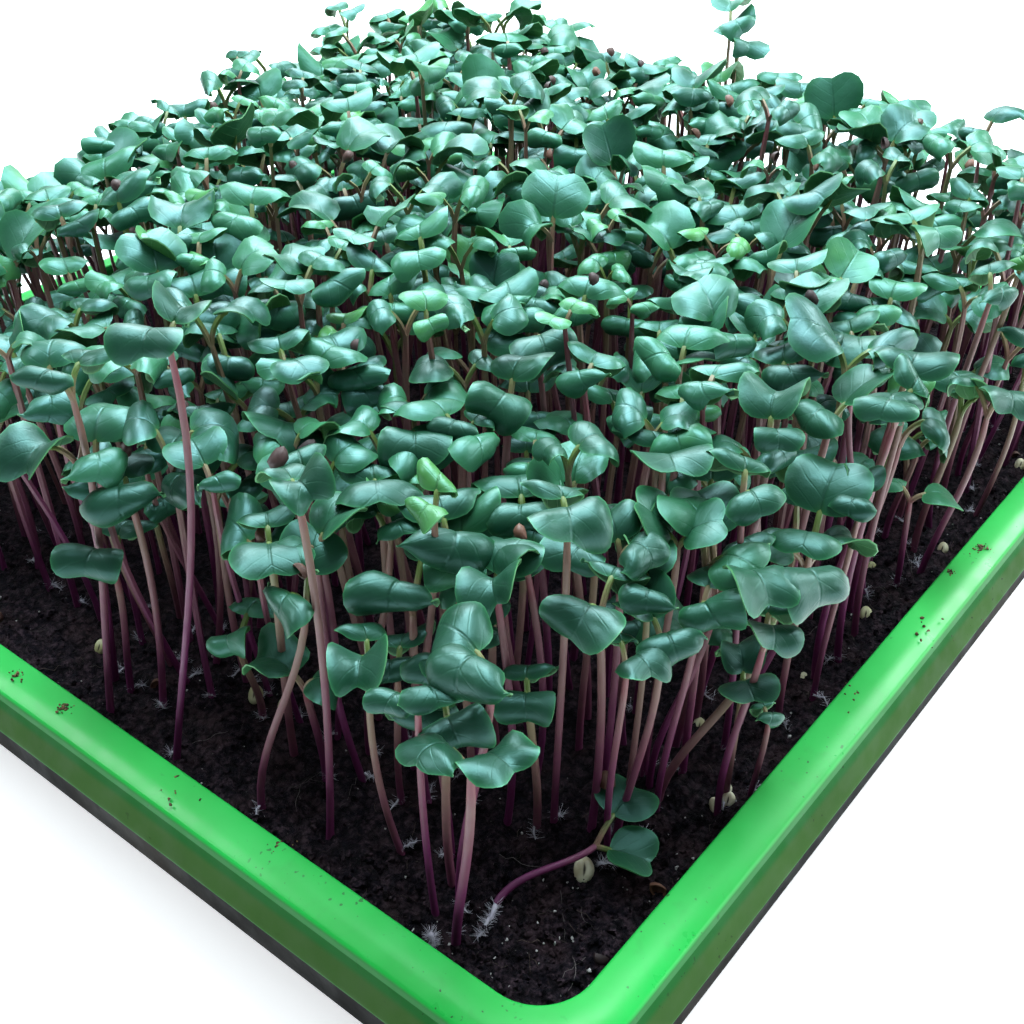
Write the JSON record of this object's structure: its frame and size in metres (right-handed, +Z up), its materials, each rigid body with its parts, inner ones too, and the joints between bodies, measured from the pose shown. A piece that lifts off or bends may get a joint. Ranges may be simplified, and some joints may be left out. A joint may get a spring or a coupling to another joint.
{
  "type": "microgreens tray",
  "caption": "Square tray of radish microgreens: a green grow tray with a rolled rim, nested in a dark drip tray, filled with potting mix and thickly sown with seedlings.",
  "frame": {"origin": "centre of the drip tray's flat underside, on which the whole thing stands", "axes": "+Z up; +X and +Y along the sides of the square tray"},
  "size_m": [0.3111, 0.316, 0.1258],
  "materials": {
    "green_plastic": "gloss",
    "charcoal_plastic": "satin",
    "potting_mix": "matte",
    "seedling": "satin"
  },
  "bodies": {
    "root": {"grow_tray": "green_plastic", "drip_tray": "charcoal_plastic", "potting_mix": "potting_mix", "seedling_clump_r1c1": "seedling", "seedling_clump_r1c2": "seedling", "seedling_clump_r1c3": "seedling", "seedling_clump_r1c4": "seedling", "seedling_clump_r1c5": "seedling", "seedling_clump_r1c6": "seedling", "seedling_clump_r1c7": "seedling", "seedling_clump_r2c1": "seedling", "seedling_clump_r2c2": "seedling", "seedling_clump_r2c3": "seedling", "seedling_clump_r2c4": "seedling", "seedling_clump_r2c5": "seedling", "seedling_clump_r2c6": "seedling", "seedling_clump_r2c7": "seedling", "seedling_clump_r3c1": "seedling", "seedling_clump_r3c2": "seedling", "seedling_clump_r3c3": "seedling", "seedling_clump_r3c4": "seedling", "seedling_clump_r3c5": "seedling", "seedling_clump_r3c6": "seedling", "seedling_clump_r3c7": "seedling", "seedling_clump_r4c1": "seedling", "seedling_clump_r4c2": "seedling", "seedling_clump_r4c3": "seedling", "seedling_clump_r4c4": "seedling", "seedling_clump_r4c5": "seedling", "seedling_clump_r4c6": "seedling", "seedling_clump_r4c7": "seedling", "seedling_clump_r5c1": "seedling", "seedling_clump_r5c2": "seedling", "seedling_clump_r5c3": "seedling", "seedling_clump_r5c4": "seedling", "seedling_clump_r5c5": "seedling", "seedling_clump_r5c6": "seedling", "seedling_clump_r5c7": "seedling", "seedling_clump_r6c1": "seedling", "seedling_clump_r6c2": "seedling", "seedling_clump_r6c3": "seedling", "seedling_clump_r6c4": "seedling", "seedling_clump_r6c5": "seedling", "seedling_clump_r6c6": "seedling", "seedling_clump_r6c7": "seedling", "seedling_clump_r7c1": "seedling", "seedling_clump_r7c2": "seedling", "seedling_clump_r7c3": "seedling", "seedling_clump_r7c4": "seedling", "seedling_clump_r7c5": "seedling", "seedling_clump_r7c6": "seedling", "seedling_clump_r7c7": "seedling"}
  },
  "joints": []
}
